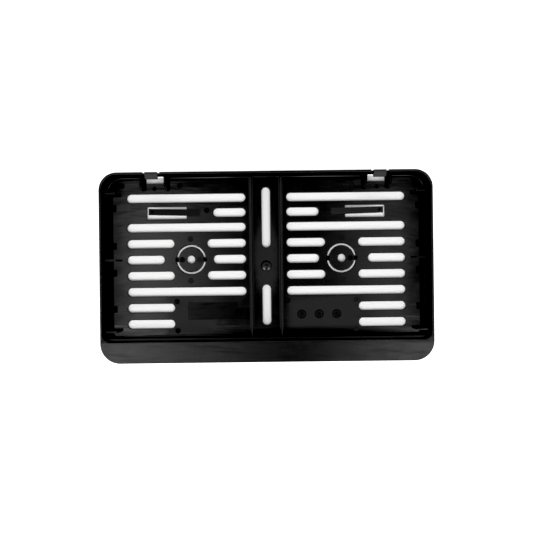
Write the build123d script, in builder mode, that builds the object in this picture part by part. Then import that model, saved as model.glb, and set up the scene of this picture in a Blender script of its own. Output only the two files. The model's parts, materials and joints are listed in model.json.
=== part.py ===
from build123d import *
from math import radians, tan
import os

# Number plate that the tray carries, and its room in the mouth of the tray
PLATE_W = 305.0
PLATE_H = 152.0
PLATE_T = 1.0
MOUTH_CLEAR_X = 1.1
MOUTH_CLEAR_Y = 2.1

# Tray shell: back face at Z = 0, front rim at Z = DEPTH, Y is up on the car
DEPTH = 18.0
BASE_T = 2.2
SIDE_RIM = 1.9
TOP_RIM = 2.2
BAND_H = 19.8
OUTER_R_TOP = 16.7
OUTER_R_LOW = 18.6
MOUTH_R_TOP = 14.7
MOUTH_R_LOW = 7.2
OUTER_DRAFT = 1.0
SIDE_DRAFT = 3.0
TOP_DRAFT = 0.5
LOW_DRAFT = 1.0
FOOT_R = 1.0
RIM_OUTER_R = 0.8
RIM_INNER_EASE = 0.4

# Ledge in the lower wall, level with the fins, for the lower edge of the plate
LEDGE_W = 2.5
LEDGE_RUNOUT = 0.6

# Hollow behind the bottom band, with upright ribs
BAND_T = 2.2
HOLLOW_DRAFT = 0.5
HOLLOW_RIBS = 7
HOLLOW_RIB_PITCH = 40.0
HOLLOW_RIB_T = 1.5
HOLLOW_RIB_SETBACK = 1.0

# Fixing slots: the rows are counted from the line of the two screw holes
HOLE_LINE_DROP = 1.4
SLOT_W = 8.0
ROW_PITCH = 15.5
TOP_ROW_PITCH = 14.2
SLOT_IN = 19.9
SLOT_OUT = 134.0
RING_LAND_IN = 56.7
RING_LAND_OUT = 88.9
HOLE_LAND_IN = 50.8
HOLE_LAND_OUT = 98.3
CENTRE_UP_RISE = 11.0
CENTRE_UP_L = 57.9
CENTRE_LOW_DROP = 25.2
CENTRE_LOW_L = 38.8

# Screw holes, each in a disc that breaks out along a ring slot
HOLE_X = 72.6
HOLE_R = 3.75
RING_R = 14.45
RING_SLOT = 2.45
RING_DRAFT = 14.0
BRIDGE_W = 3.9
BRIDGE_T = 1.3

# Stiffening ribs beside the centre slots
RIB_X = 14.3
RIB_T = 1.6
RIB_H = 5.8
RIB_DRAFT = 1.5
RIB_FOOT_R = 1.2

# Snap hooks in the top wall, with a window in the base under each
HOOK_X = 106.7
HOOK_W = 11.8
HOOK_REACH = 4.2
HOOK_RAMP = 2.6
HOOK_NOSE = 1.4
HOOK_CLEAR = 0.9
SLIT_W = 2.2
SLIT_FOOT = 13.0
WINDOW_REACH = 5.9
WINDOW_BITE = 1.0
WINDOW_TOP = 7.0
WINDOW_EASE = 0.3

# Fins that the back of the plate rests on
FIN_T = 1.8
FIN_LEAN = 2.2
HOOK_FIN_REACH = 13.4
HOOK_FIN_OFFSET = 11.6
SIDE_FIN_REACH = 13.9
SIDE_FIN_FROM_TOP = 16.4
SIDE_FIN_FROM_LOW = 8.9

# Spring tongues that press the plate forward against the hooks
TONGUE_ROOT = 63.3
TONGUE_SLOT_IN = 76.4
TONGUE_SLOT_OUT = 114.6
TONGUE_SLOT_H = 11.7
TONGUE_SLOT_R = 1.0
TONGUE_TIP_GAP = 4.0
TONGUE_TIP_R = 0.8
TONGUE_ROOT_W = 6.3
TONGUE_TIP_W = 5.9
TONGUE_T = 2.0

# Marking panel sunk in the base and gate dimple, placed from the hole line
PANEL_DEPTH = 0.3
PANEL_W = 58.5
PANEL_H = 16.6
PANEL_X = -46.7
PANEL_RISE = -49.6
PANEL_NOTCH_W = 10.3
PANEL_NOTCH_H = 5.6
GATE_R = 5.2
GATE_FLOOR_R = 2.4
GATE_DEPTH = 0.9
GATE_RISE = -7.4

# Places that follow from the sizes above
MOUTH_W = PLATE_W + 2 * MOUTH_CLEAR_X
MOUTH_H = PLATE_H + 2 * MOUTH_CLEAR_Y
OUTER_W = MOUTH_W + 2 * SIDE_RIM
OUTER_H = MOUTH_H + TOP_RIM + BAND_H
MOUTH_X = MOUTH_W / 2
MOUTH_TOP = OUTER_H / 2 - TOP_RIM
MOUTH_LOW = MOUTH_TOP - MOUTH_H
POCKET_DEPTH = DEPTH - BASE_T
FOOT_X = MOUTH_X - POCKET_DEPTH * tan(radians(SIDE_DRAFT))
FOOT_TOP = MOUTH_TOP - POCKET_DEPTH * tan(radians(TOP_DRAFT))
NOSE_Z = DEPTH - HOOK_RAMP - HOOK_NOSE
SEAT_Z = NOSE_Z - HOOK_CLEAR - PLATE_T
STEP_FOOT = MOUTH_LOW + (DEPTH - SEAT_Z) * tan(radians(LOW_DRAFT))
LEDGE_EDGE = STEP_FOOT + LEDGE_W
LEDGE_R = MOUTH_R_LOW - LEDGE_W + LEDGE_RUNOUT
FOOT_LOW = LEDGE_EDGE + (SEAT_Z - BASE_T) * tan(radians(LOW_DRAFT))
HOLLOW_TOP = MOUTH_LOW - BAND_T
LEDGE_HOLLOW_TOP = FOOT_LOW - BAND_T
HOLLOW_LOW = BAND_T - OUTER_H / 2
WALL_BITE = SIDE_RIM / 2
BASE_BITE = BASE_T / 2
LOW_BITE = RIB_H * tan(radians(LOW_DRAFT)) + WALL_BITE
THROUGH = 3 * BASE_T
HOLE_LINE = (MOUTH_TOP + MOUTH_LOW) / 2 - HOLE_LINE_DROP
SLIT_OFFSET = (HOOK_W + SLIT_W) / 2
WINDOW_W = HOOK_W + 2 * SLIT_W + 2 * WINDOW_EASE
WINDOW_LOW = MOUTH_TOP - WINDOW_REACH
TONGUE_Y = HOLE_LINE + 2 * ROW_PITCH + TOP_ROW_PITCH
TONGUE_TIP = TONGUE_SLOT_OUT - TONGUE_TIP_GAP
TONGUE_SLOPE = (SEAT_Z - BASE_T) / (TONGUE_TIP - TONGUE_ROOT)
BRIDGE_OFFSET = RING_R - RING_SLOT / 2

# Fixing slots of one side: height over the hole line, inner end, outer end
SLOTS = (
    (2 * ROW_PITCH + 2 * TOP_ROW_PITCH, SLOT_IN, SLOT_OUT),
    (2 * ROW_PITCH + TOP_ROW_PITCH, SLOT_IN, HOLE_LAND_IN),
    (2 * ROW_PITCH, SLOT_IN, SLOT_OUT),
    (ROW_PITCH, SLOT_IN, RING_LAND_IN),
    (ROW_PITCH, RING_LAND_OUT, SLOT_OUT),
    (0.0, SLOT_IN, HOLE_LAND_IN),
    (0.0, HOLE_LAND_OUT, SLOT_OUT),
    (-ROW_PITCH, SLOT_IN, RING_LAND_IN),
    (-ROW_PITCH, RING_LAND_OUT, SLOT_OUT),
    (-2 * ROW_PITCH, SLOT_IN, SLOT_OUT),
    (-3 * ROW_PITCH, RING_LAND_OUT, SLOT_OUT),
    (-4 * ROW_PITCH, RING_LAND_OUT, SLOT_OUT),
)


def both_sides(x, rise):
    """A place given by its height over the hole line, and its mirror image."""
    return ((x, HOLE_LINE + rise), (-x, HOLE_LINE + rise))


def slanted(room):
    """Straight edges that run from the foot to the mouth of a drafted room."""
    return room.edges().filter_by(GeomType.LINE).filter_by(Axis.X, reverse=True).filter_by(Axis.Y, reverse=True)


def fin_side(wall, reach):
    """Side view of a fin on the base: flat seat for the plate, leaning free end."""
    Polygon(
        (wall + WALL_BITE, BASE_BITE),
        (wall + WALL_BITE, SEAT_Z),
        (wall - reach + FIN_LEAN, SEAT_Z),
        (wall - reach, BASE_T),
        (wall - reach, BASE_BITE),
        align=None,
    )


# Room of the tray: drafted walls, the lower one with a ledge, rounded corners and a rounded foot
with BuildPart() as pocket:
    with BuildSketch(Plane.YZ):
        Polygon(
            (FOOT_LOW, BASE_T),
            (FOOT_TOP, BASE_T),
            (MOUTH_TOP, DEPTH),
            (MOUTH_LOW, DEPTH),
            (STEP_FOOT, SEAT_Z),
            (LEDGE_EDGE, SEAT_Z),
            align=None,
        )
    extrude(amount=OUTER_W, both=True)
    with BuildSketch(Plane.XZ):
        Polygon((-FOOT_X, BASE_T), (FOOT_X, BASE_T), (MOUTH_X, DEPTH), (-MOUTH_X, DEPTH), align=None)
    extrude(amount=OUTER_H, both=True, mode=Mode.INTERSECT)
    fillet(slanted(pocket).group_by(Axis.Y)[-1], MOUTH_R_TOP)
    fillet(slanted(pocket).filter_by(lambda edge: edge.center().Y < 0).group_by(Axis.Z)[0], LEDGE_R)
    fillet(pocket.faces().sort_by(Axis.Z)[0].edges(), FOOT_R)
    fillet(slanted(pocket).filter_by(lambda edge: edge.center().Y < 0).group_by(Axis.Z)[-1], MOUTH_R_LOW)

# Hollow behind the band, open at the back
with BuildPart() as band_hollow:
    with BuildSketch(Plane.XY.offset(DEPTH - BAND_T)) as hollow_outline:
        Rectangle(MOUTH_W, -2 * HOLLOW_LOW)
        fillet(hollow_outline.vertices().group_by(Axis.Y)[0], OUTER_R_LOW - SIDE_RIM)
        with Locations((0, HOLLOW_TOP)):
            Rectangle(OUTER_W, OUTER_H, align=(Align.CENTER, Align.MAX), mode=Mode.INTERSECT)
    extrude(amount=-DEPTH, taper=-HOLLOW_DRAFT)
    with BuildSketch(Plane.XY.offset(SEAT_Z - BAND_T)):
        with Locations((0, LEDGE_HOLLOW_TOP)):
            Rectangle(MOUTH_W, LEDGE_HOLLOW_TOP - HOLLOW_TOP + BAND_T, align=(Align.CENTER, Align.MAX))
    extrude(amount=-DEPTH, taper=-HOLLOW_DRAFT)

# One stiffening rib, flared into the base
with BuildPart() as stiffener:
    with BuildSketch(Plane.XZ.offset(-MOUTH_TOP - WALL_BITE)):
        half = RIB_T / 2
        flare = half + RIB_FOOT_R
        lean = (RIB_H - RIB_FOOT_R) * tan(radians(RIB_DRAFT))
        hollow = RIB_FOOT_R * (1 - 0.5 ** 0.5)
        with BuildLine():
            ThreePointArc(
                (RIB_X - flare, BASE_T),
                (RIB_X - half - hollow, BASE_T + hollow),
                (RIB_X - half, BASE_T + RIB_FOOT_R),
            )
            Polyline(
                (RIB_X - half, BASE_T + RIB_FOOT_R),
                (RIB_X - half + lean, BASE_T + RIB_H),
                (RIB_X + half - lean, BASE_T + RIB_H),
                (RIB_X + half, BASE_T + RIB_FOOT_R),
            )
            ThreePointArc(
                (RIB_X + half, BASE_T + RIB_FOOT_R),
                (RIB_X + half + hollow, BASE_T + hollow),
                (RIB_X + flare, BASE_T),
            )
            Polyline(
                (RIB_X + flare, BASE_T),
                (RIB_X + flare, BASE_BITE),
                (RIB_X - flare, BASE_BITE),
                (RIB_X - flare, BASE_T),
            )
        make_face()
    extrude(amount=MOUTH_TOP + WALL_BITE - FOOT_LOW + LOW_BITE)

# Fins and hook nose of the right-hand side
with BuildPart() as fittings:
    for fin_x in (HOOK_X - HOOK_FIN_OFFSET, HOOK_X + HOOK_FIN_OFFSET):
        with BuildSketch(Plane.YZ.offset(fin_x)):
            fin_side(MOUTH_TOP, HOOK_FIN_REACH)
        extrude(amount=FIN_T / 2, both=True)
    for fin_y in (MOUTH_TOP - SIDE_FIN_FROM_TOP, HOLE_LINE, MOUTH_LOW + SIDE_FIN_FROM_LOW):
        with BuildSketch(Plane.XZ.offset(-fin_y)):
            fin_side(MOUTH_X, SIDE_FIN_REACH)
        extrude(amount=FIN_T / 2, both=True)
    with BuildSketch(Plane.YZ.offset(HOOK_X)):
        Polygon(
            (MOUTH_TOP + WALL_BITE, DEPTH),
            (MOUTH_TOP, DEPTH),
            (MOUTH_TOP - HOOK_REACH, DEPTH - HOOK_RAMP),
            (MOUTH_TOP - HOOK_REACH, NOSE_Z),
            (MOUTH_TOP + WALL_BITE, NOSE_Z),
            align=None,
        )
    extrude(amount=HOOK_W / 2, both=True)

# One spring tongue: a ramp that leaves the base and narrows to its tip
with BuildPart() as tongue:
    with BuildSketch(Plane.XZ.offset(-TONGUE_Y)) as tongue_side:
        Polygon(
            (TONGUE_ROOT, BASE_BITE),
            (TONGUE_ROOT, BASE_T),
            (TONGUE_TIP, SEAT_Z),
            (TONGUE_TIP, SEAT_Z - TONGUE_T),
            (TONGUE_SLOT_IN, BASE_T + (TONGUE_SLOT_IN - TONGUE_ROOT) * TONGUE_SLOPE - TONGUE_T),
            (TONGUE_SLOT_IN, BASE_BITE),
            align=None,
        )
        fillet(tongue_side.vertices().sort_by(Axis.Y)[-1], TONGUE_TIP_R)
    extrude(amount=TONGUE_ROOT_W, both=True)
    with BuildSketch(Plane.XY):
        Polygon(
            (TONGUE_ROOT, TONGUE_Y - TONGUE_ROOT_W / 2),
            (TONGUE_TIP, TONGUE_Y - TONGUE_TIP_W / 2),
            (TONGUE_TIP, TONGUE_Y + TONGUE_TIP_W / 2),
            (TONGUE_ROOT, TONGUE_Y + TONGUE_ROOT_W / 2),
            align=None,
        )
    extrude(amount=DEPTH, mode=Mode.INTERSECT)

# The whole moulding, starting from a drafted block with a rounded front edge
with BuildPart() as plate_holder:
    with BuildSketch(Plane.XY.offset(DEPTH)) as outline:
        Rectangle(OUTER_W, OUTER_H)
        fillet(outline.vertices().group_by(Axis.Y)[-1], OUTER_R_TOP)
        fillet(outline.vertices().group_by(Axis.Y)[0], OUTER_R_LOW)
    extrude(amount=-DEPTH, taper=OUTER_DRAFT)
    fillet(plate_holder.faces().sort_by(Axis.Z)[-1].edges(), RIM_OUTER_R)
    add(pocket.part, mode=Mode.SUBTRACT)
    chamfer(plate_holder.faces().sort_by(Axis.Z)[-1].inner_wires()[0].edges(), RIM_INNER_EASE)
    add(band_hollow.part, mode=Mode.SUBTRACT)

    # Upright ribs across the hollow of the band
    with BuildSketch(Plane.XY.offset(HOLLOW_RIB_SETBACK)):
        with Locations((0, (HOLLOW_TOP + HOLLOW_LOW) / 2)):
            with GridLocations(HOLLOW_RIB_PITCH, 1, HOLLOW_RIBS, 1):
                Rectangle(HOLLOW_RIB_T, HOLLOW_TOP - HOLLOW_LOW + WALL_BITE)
    extrude(amount=DEPTH - BAND_T / 2 - HOLLOW_RIB_SETBACK)
    with BuildSketch(Plane.XY.offset(HOLLOW_RIB_SETBACK)):
        with Locations((0, (HOLLOW_TOP + LEDGE_HOLLOW_TOP) / 2)):
            with GridLocations(HOLLOW_RIB_PITCH, 1, HOLLOW_RIBS, 1):
                Rectangle(HOLLOW_RIB_T, LEDGE_HOLLOW_TOP - HOLLOW_TOP + WALL_BITE)
    extrude(amount=SEAT_Z - BAND_T / 2 - HOLLOW_RIB_SETBACK)

    # Stiffening ribs, fins and hook noses
    add(stiffener.part)
    mirror(stiffener.part, about=Plane.YZ)
    add(fittings.part)
    mirror(fittings.part, about=Plane.YZ)

    # Window under each hook, and the slits that free its finger
    with BuildSketch(Plane.XY.offset(-BASE_T)):
        with Locations((HOOK_X, WINDOW_LOW), (-HOOK_X, WINDOW_LOW)):
            Rectangle(WINDOW_W, WINDOW_REACH + WINDOW_BITE, align=(Align.CENTER, Align.MIN))
    extrude(amount=BASE_T + WINDOW_TOP, mode=Mode.SUBTRACT)
    with BuildSketch(Plane.XY.offset(SLIT_FOOT)):
        for slit_x in (HOOK_X - SLIT_OFFSET, HOOK_X + SLIT_OFFSET):
            with Locations((slit_x, WINDOW_LOW), (-slit_x, WINDOW_LOW)):
                Rectangle(SLIT_W, WINDOW_REACH + 2 * TOP_RIM, align=(Align.CENTER, Align.MIN))
    extrude(amount=DEPTH, mode=Mode.SUBTRACT)

    # Fixing slots, screw holes and ring slots through the base
    with BuildSketch(Plane.XY.offset(BASE_T)):
        for rise, start, end in SLOTS:
            with Locations(*both_sides((start + end) / 2, rise)):
                SlotOverall(end - start, SLOT_W)
        with Locations((0, HOLE_LINE + CENTRE_UP_RISE + CENTRE_UP_L / 2)):
            SlotOverall(CENTRE_UP_L, SLOT_W, rotation=90)
        with Locations((0, HOLE_LINE - CENTRE_LOW_DROP - CENTRE_LOW_L / 2)):
            SlotOverall(CENTRE_LOW_L, SLOT_W, rotation=90)
    extrude(amount=-THROUGH, mode=Mode.SUBTRACT)
    with BuildSketch(Plane.XY.offset(BASE_T)):
        with Locations(*both_sides(HOLE_X, 0)):
            Circle(RING_R)
            Circle(RING_R - RING_SLOT, mode=Mode.SUBTRACT)
            Rectangle(2 * RING_R, BRIDGE_W, mode=Mode.SUBTRACT)
    extrude(amount=-BASE_T, taper=RING_DRAFT, mode=Mode.SUBTRACT)
    with BuildSketch(Plane.XY.offset(BASE_T)):
        with Locations(*both_sides(HOLE_X, 0)):
            Circle(HOLE_R)
    extrude(amount=-THROUGH, mode=Mode.SUBTRACT)

    # Thinned bridges that hold each break-out disc
    with BuildSketch(Plane.XY.offset(BRIDGE_T)):
        for bridge_x in (HOLE_X - BRIDGE_OFFSET, HOLE_X + BRIDGE_OFFSET):
            with Locations(*both_sides(bridge_x, 0)):
                Rectangle(RING_SLOT, BRIDGE_W)
    extrude(amount=BASE_T, mode=Mode.SUBTRACT)

    # Spring tongues, each in its own slot
    with BuildSketch(Plane.XY.offset(BASE_T)):
        with Locations(*both_sides((TONGUE_SLOT_IN + TONGUE_SLOT_OUT) / 2, TONGUE_Y - HOLE_LINE)):
            RectangleRounded(TONGUE_SLOT_OUT - TONGUE_SLOT_IN, TONGUE_SLOT_H, TONGUE_SLOT_R)
    extrude(amount=-THROUGH, mode=Mode.SUBTRACT)
    add(tongue.part)
    mirror(tongue.part, about=Plane.YZ)

    # Bare marking panel and gate dimple, sunk in the base
    with BuildSketch(Plane.XY.offset(BASE_T)):
        with Locations((PANEL_X, HOLE_LINE + PANEL_RISE)):
            Rectangle(PANEL_W, PANEL_H)
        with Locations((PANEL_X + PANEL_W / 2, HOLE_LINE + PANEL_RISE + PANEL_H / 2)):
            Rectangle(2 * PANEL_NOTCH_W, 2 * PANEL_NOTCH_H, mode=Mode.SUBTRACT)
    extrude(amount=-PANEL_DEPTH, mode=Mode.SUBTRACT)
    with Locations((0, HOLE_LINE + GATE_RISE, BASE_T)):
        Cone(GATE_FLOOR_R, GATE_R, GATE_DEPTH, align=(Align.CENTER, Align.CENTER, Align.MAX), mode=Mode.SUBTRACT)

os.makedirs("parts", exist_ok=True)
plate_holder.part.label = "plate_holder"
export_step(plate_holder.part, "parts/plate_holder.step")
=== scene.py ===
"""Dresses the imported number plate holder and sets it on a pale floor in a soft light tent.

The holder is one black moulding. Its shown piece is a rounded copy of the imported
solid that also has what the mould leaves in it: ejector pin marks, lifter marks,
date clocks and the torn-off gate. Lengths are metres, made from millimetres by MM.
"""

import json
import logging
import math
from collections.abc import Callable, Iterable, Iterator
from contextlib import contextmanager
from dataclasses import dataclass, field, replace
from enum import Enum
from functools import partial

import bmesh
import bpy
from mathutils import Matrix, Vector


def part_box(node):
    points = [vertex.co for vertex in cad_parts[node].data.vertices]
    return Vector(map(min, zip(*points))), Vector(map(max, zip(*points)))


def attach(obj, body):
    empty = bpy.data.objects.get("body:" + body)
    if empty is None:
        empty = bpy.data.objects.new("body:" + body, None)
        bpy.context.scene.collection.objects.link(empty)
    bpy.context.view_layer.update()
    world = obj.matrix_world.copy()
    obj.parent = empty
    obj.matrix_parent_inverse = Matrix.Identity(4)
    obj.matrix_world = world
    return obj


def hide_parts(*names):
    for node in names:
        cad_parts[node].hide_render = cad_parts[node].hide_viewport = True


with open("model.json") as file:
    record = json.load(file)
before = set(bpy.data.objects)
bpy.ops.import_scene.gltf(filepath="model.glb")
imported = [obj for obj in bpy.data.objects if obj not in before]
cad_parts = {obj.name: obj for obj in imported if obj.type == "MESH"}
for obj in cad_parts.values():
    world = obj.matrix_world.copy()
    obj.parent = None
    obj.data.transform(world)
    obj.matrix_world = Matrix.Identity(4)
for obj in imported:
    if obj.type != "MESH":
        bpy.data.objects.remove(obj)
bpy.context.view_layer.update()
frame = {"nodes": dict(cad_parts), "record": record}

LOG = logging.getLogger("plate_holder")
MM = 0.001
FAR = 1000.0  # millimetres, past all of the part
SIDES = (1.0, -1.0)

Piece = bpy.types.Object
Socket = bpy.types.NodeSocket
Tree = bpy.types.NodeTree
Numbers = tuple[float, ...]
Wire = Socket | float | Numbers


class Moulding(Enum):
    """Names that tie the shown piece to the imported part."""

    NODE = "plate_holder"
    BODY = "root"
    SLOT = "black_plastic"


class Skin(Enum):
    """Finishes of the moulding, in the order of its material slots."""

    SATIN = 0
    RUBBED_EDGE = 1
    TOOL_MARK = 2
    # dull upright inner faces; having no reflection at all paints them in shade
    DRAWN_SIDE = 3
    # the same marks as TOOL_MARK with more reflection: painted sheen that makes them show fainter
    FAINT_MARK = 4


class PatchShape(Enum):
    """Outlines of a soft patch."""

    BOX = "box"
    OVAL = "oval"


class Carving(Enum):
    """How a detail changes the moulding, by the boolean's operation."""

    SINK = "DIFFERENCE"
    GROW = "UNION"


class MeshPart(Enum):
    """What is picked in edit mode, by bmesh's name of it."""

    FACE = "faces"
    EDGE = "edges"


class MixKind(Enum):
    """Kinds of Mix node, with the places of its first input and of its result."""

    FLOAT = (2, 0)
    RGBA = (6, 2)


def mm(*lengths: float) -> Numbers:
    """Lengths in metres, from millimetres."""
    return tuple(length * MM for length in lengths)


def select_only(obj: Piece) -> None:
    """Makes one object the active and only selected one.

    Args:
        obj: The object that the next operator acts on.
    """
    bpy.ops.object.select_all(action="DESELECT")
    obj.select_set(True)
    bpy.context.view_layer.objects.active = obj


@contextmanager
def editing(obj: Piece) -> Iterator[None]:
    """Opens an object in edit mode and closes it again.

    Args:
        obj: The object to edit.
    """
    select_only(obj)
    bpy.ops.object.mode_set(mode="EDIT")
    yield
    bpy.ops.object.mode_set(mode="OBJECT")


def pick(obj: Piece, part: MeshPart, wanted: Callable[..., bool]) -> None:
    """Selects the faces or edges that a test wants, in edit mode.

    Args:
        obj: The object that is edited.
        part: What is picked.
        wanted: The test, which gets a face or an edge.
    """
    bpy.ops.mesh.select_mode(type=part.name)
    bpy.ops.mesh.select_all(action="DESELECT")
    mesh = bmesh.from_edit_mesh(obj.data)
    for item in getattr(mesh, part.value):
        item.select = wanted(item)
    bmesh.update_edit_mesh(obj.data)


def started(name: str, primitive: Callable[..., set[str]], **sizes: object) -> Piece:
    """Adds a primitive to start a piece from, with nothing else selected.

    Args:
        name: Name of the piece.
        primitive: Blender's operator.
        **sizes: The operator's settings.

    Returns:
        The new object.
    """
    bpy.ops.object.select_all(action="DESELECT")
    primitive(**sizes)
    bpy.context.object.name = name
    return bpy.context.object


def settle(obj: Piece) -> None:
    """Moves an object's place, turn and scale into its mesh."""
    select_only(obj)
    bpy.ops.object.transform_apply(location=True, rotation=True, scale=True)


def joined(pieces: list[Piece], name: str) -> Piece:
    """Joins settled objects into one.

    Args:
        pieces: The objects to join.
        name: Name of the joined object.

    Returns:
        The joined object.
    """
    select_only(pieces[0])
    for piece in pieces:
        piece.select_set(True)
    bpy.ops.object.join()
    bpy.context.object.name = name
    return bpy.context.object


def spread(tool: Piece, places: Iterable[Matrix], name: str) -> Piece:
    """Copies a tool to every place, each copy with its own mesh, and joins the copies.

    Args:
        tool: The tool, modelled at the origin. It is used up.
        places: Where the copies go.
        name: Name of the joined copies.

    Returns:
        The joined copies.
    """
    copies: list[Piece] = []
    for place in places:
        made = tool.copy()
        made.data = tool.data.copy()
        made.data.transform(place)
        bpy.context.collection.objects.link(made)
        copies.append(made)
    bpy.data.objects.remove(tool)
    return joined(copies, name)


def apply_modifier(obj: Piece, kind: str, **settings: object) -> None:
    """Adds a modifier to an object and applies it.

    Args:
        obj: The object to change.
        kind: Blender's name of the modifier.
        **settings: Values of the modifier.
    """
    modifier = obj.modifiers.new(kind.lower(), kind)
    for key, value in settings.items():
        setattr(modifier, key, value)
    select_only(obj)
    bpy.ops.object.modifier_apply(modifier=modifier.name)


@dataclass
class Bench:
    """A node tree with short ways to place and wire its nodes."""

    tree: Tree

    def feed(self, socket: Socket, value: Wire) -> None:
        """Wires a socket to another one, or sets its value.

        Args:
            socket: The input.
            value: What it gets.
        """
        if isinstance(value, Socket):
            self.tree.links.new(value, socket)
        else:
            socket.default_value = value

    def node(self, kind: str, inputs: dict[str | int, Wire], **settings: object) -> bpy.types.Node:
        """Places a node.

        Args:
            kind: Type of the node, without its Shader prefix.
            inputs: What each input gets, by its name or number.
            **settings: Properties of the node.

        Returns:
            The node.
        """
        made = self.tree.nodes.new("ShaderNode" + kind)
        for key, value in settings.items():
            setattr(made, key, value)
        for key, value in inputs.items():
            self.feed(made.inputs[key], value)
        return made

    def put(self, group: Tree, label: str = "", **inputs: Wire) -> bpy.types.NodeOutputs:
        """Places a node group with what its named inputs get, and gives its outputs."""
        return self.node("Group", inputs, node_tree=group, label=label).outputs

    def sum(self, operation: str, *values: Wire, clamp: bool = False) -> Socket:
        """Places a Math node, whose result can be kept between 0 and 1."""
        return self.node("Math", dict(enumerate(values)), operation=operation, use_clamp=clamp).outputs[0]

    def vector(self, operation: str, *values: Wire) -> Socket:
        """Places a Vector Math node with a vector result."""
        return self.node("VectorMath", dict(enumerate(values)), operation=operation).outputs[0]

    def parts(self, vector: Wire) -> bpy.types.NodeOutputs:
        """The X, Y and Z sockets of a vector."""
        return self.node("SeparateXYZ", {"Vector": vector}).outputs

    def ramp(self, value: Wire, low: Wire, high: Wire, start: float = 0.0, end: float = 1.0) -> Socket:
        """Eases a value from the level start, which holds up to low, to the level end, from high on."""
        inputs = {"Value": value, "From Min": low, "From Max": high, "To Min": start, "To Max": end}
        return self.node("MapRange", inputs, interpolation_type="SMOOTHSTEP").outputs["Result"]

    def blend(self, share: Wire, first: Wire, second: Wire, kind: MixKind = MixKind.FLOAT) -> Socket:
        """Blends two values or two colours, by the share of the second one."""
        a, result = kind.value
        return self.node("Mix", {0: share, a: first, a + 1: second}, data_type=kind.name).outputs[result]

    def noise(self, place: Wire, scale: float, detail: float = 2.0, roughness: float = 0.5) -> Socket:
        """Places a cloud noise of about 0.5, with the number and strength of its finer layers."""
        inputs = {"Vector": place, "Scale": scale, "Detail": detail, "Roughness": roughness}
        return self.node("TexNoise", inputs).outputs["Fac"]


@dataclass
class SharedEffect:
    """A shader node group that several finishes use, with its own bench."""

    name: str
    inputs: dict[str, str]
    outputs: tuple[str, ...]
    bench: Bench = field(init=False)
    source: bpy.types.Node = field(init=False)
    drain: bpy.types.Node = field(init=False)

    def __post_init__(self) -> None:
        """Makes the empty group with its named sockets."""
        tree = bpy.data.node_groups.new(self.name, "ShaderNodeTree")
        results = dict.fromkeys(self.outputs, "Float")
        for in_out, sockets in (("INPUT", self.inputs), ("OUTPUT", results)):
            for name, kind in sockets.items():
                tree.interface.new_socket(name=name, in_out=in_out, socket_type="NodeSocket" + kind)
        self.bench = Bench(tree)
        self.source = tree.nodes.new("NodeGroupInput")
        self.drain = tree.nodes.new("NodeGroupOutput")

    def read(self, name: str) -> Socket:
        """Socket of one of the group's inputs."""
        return self.source.outputs[name]

    def give(self, **results: Wire) -> Tree:
        """Wires the group's outputs.

        Args:
            **results: What each named output gives.

        Returns:
            The finished group.
        """
        for name, value in results.items():
            self.bench.feed(self.drain.inputs[name], value)
        return self.bench.tree


def moulded_grain() -> Tree:
    """Fine grain of the mould, slow sink waves of the plastic and the mottle of its skin.

    Returns:
        The group. Height and Wave swing about zero, Mottle runs from 0 to 1.
    """
    inputs = {"Place": "Vector", "Pitch": "Float"}
    effect = SharedEffect("moulded_grain", inputs, ("Height", "Wave", "Mottle"))
    bench, place = effect.bench, effect.read("Place")
    cells = bench.sum("DIVIDE", 1.0, effect.read("Pitch"))
    scaled = bench.node("VectorMath", {"Vector": place, "Scale": cells}, operation="SCALE").outputs["Vector"]
    fine = bench.noise(scaled, scale=1.0, detail=3.0, roughness=0.6)
    coarse = bench.noise(scaled, scale=0.31, detail=1.0)
    height = bench.sum("ADD", bench.sum("SUBTRACT", fine, 0.5), bench.sum("SUBTRACT", coarse, 0.5))
    drawn = bench.node("Mapping", {"Vector": place, "Scale": (0.2, 1.0, 1.0)}).outputs["Vector"]
    wave = bench.noise(drawn, scale=105.0, roughness=0.45)
    mottle = bench.ramp(bench.noise(place, scale=55.0, detail=4.0, roughness=0.62), low=0.3, high=0.7)
    return effect.give(Height=height, Wave=bench.sum("SUBTRACT", wave, 0.5), Mottle=mottle)


def flow_marks() -> Tree:
    """Streaks that the melt leaves as it runs out from the gate.

    Returns:
        The group. Streak runs from 0 to 1.
    """
    effect = SharedEffect("flow_marks", {"Place": "Vector"}, ("Streak",))
    bench = effect.bench
    spokes, spoke_run = 9.0, 14.0
    across, along, _ = bench.parts(effect.read("Place"))
    turn = bench.sum("ARCTAN2", along, across)
    out = bench.sum("SQRT", bench.sum("ADD", bench.sum("POWER", across, 2.0), bench.sum("POWER", along, 2.0)))
    fan = {
        "X": bench.sum("MULTIPLY", bench.sum("COSINE", turn), spokes),
        "Y": bench.sum("MULTIPLY", bench.sum("SINE", turn), spokes),
        "Z": bench.sum("MULTIPLY", out, spoke_run),
    }
    fanned = bench.node("CombineXYZ", fan).outputs["Vector"]
    streaks = bench.noise(fanned, scale=1.0, detail=3.0, roughness=0.55)
    return effect.give(Streak=bench.ramp(streaks, low=0.35, high=0.68))


def handling_scuffs() -> Tree:
    """Hair-fine scuffs from packing and handling, in two directions.

    Returns:
        The group. Scuff runs from 0 to 1.
    """
    effect = SharedEffect("handling_scuffs", {"Place": "Vector", "Amount": "Float"}, ("Scuff",))
    bench, place = effect.bench, effect.read("Place")
    hair = (26.0, 950.0, 60.0)
    lines: list[Socket] = []
    for turn in (0.31, -0.96):
        laid = bench.node("Mapping", {"Vector": place, "Rotation": (0.0, 0.0, turn), "Scale": hair})
        line = bench.noise(laid.outputs["Vector"], scale=1.0, detail=1.0)
        lines.append(bench.ramp(line, low=0.69, high=0.76))
    patches = bench.ramp(bench.noise(place, scale=17.0), low=0.48, high=0.64)
    both = bench.sum("MULTIPLY", bench.sum("MAXIMUM", *lines), patches)
    return effect.give(Scuff=bench.sum("MULTIPLY", both, effect.read("Amount"), clamp=True))


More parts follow.
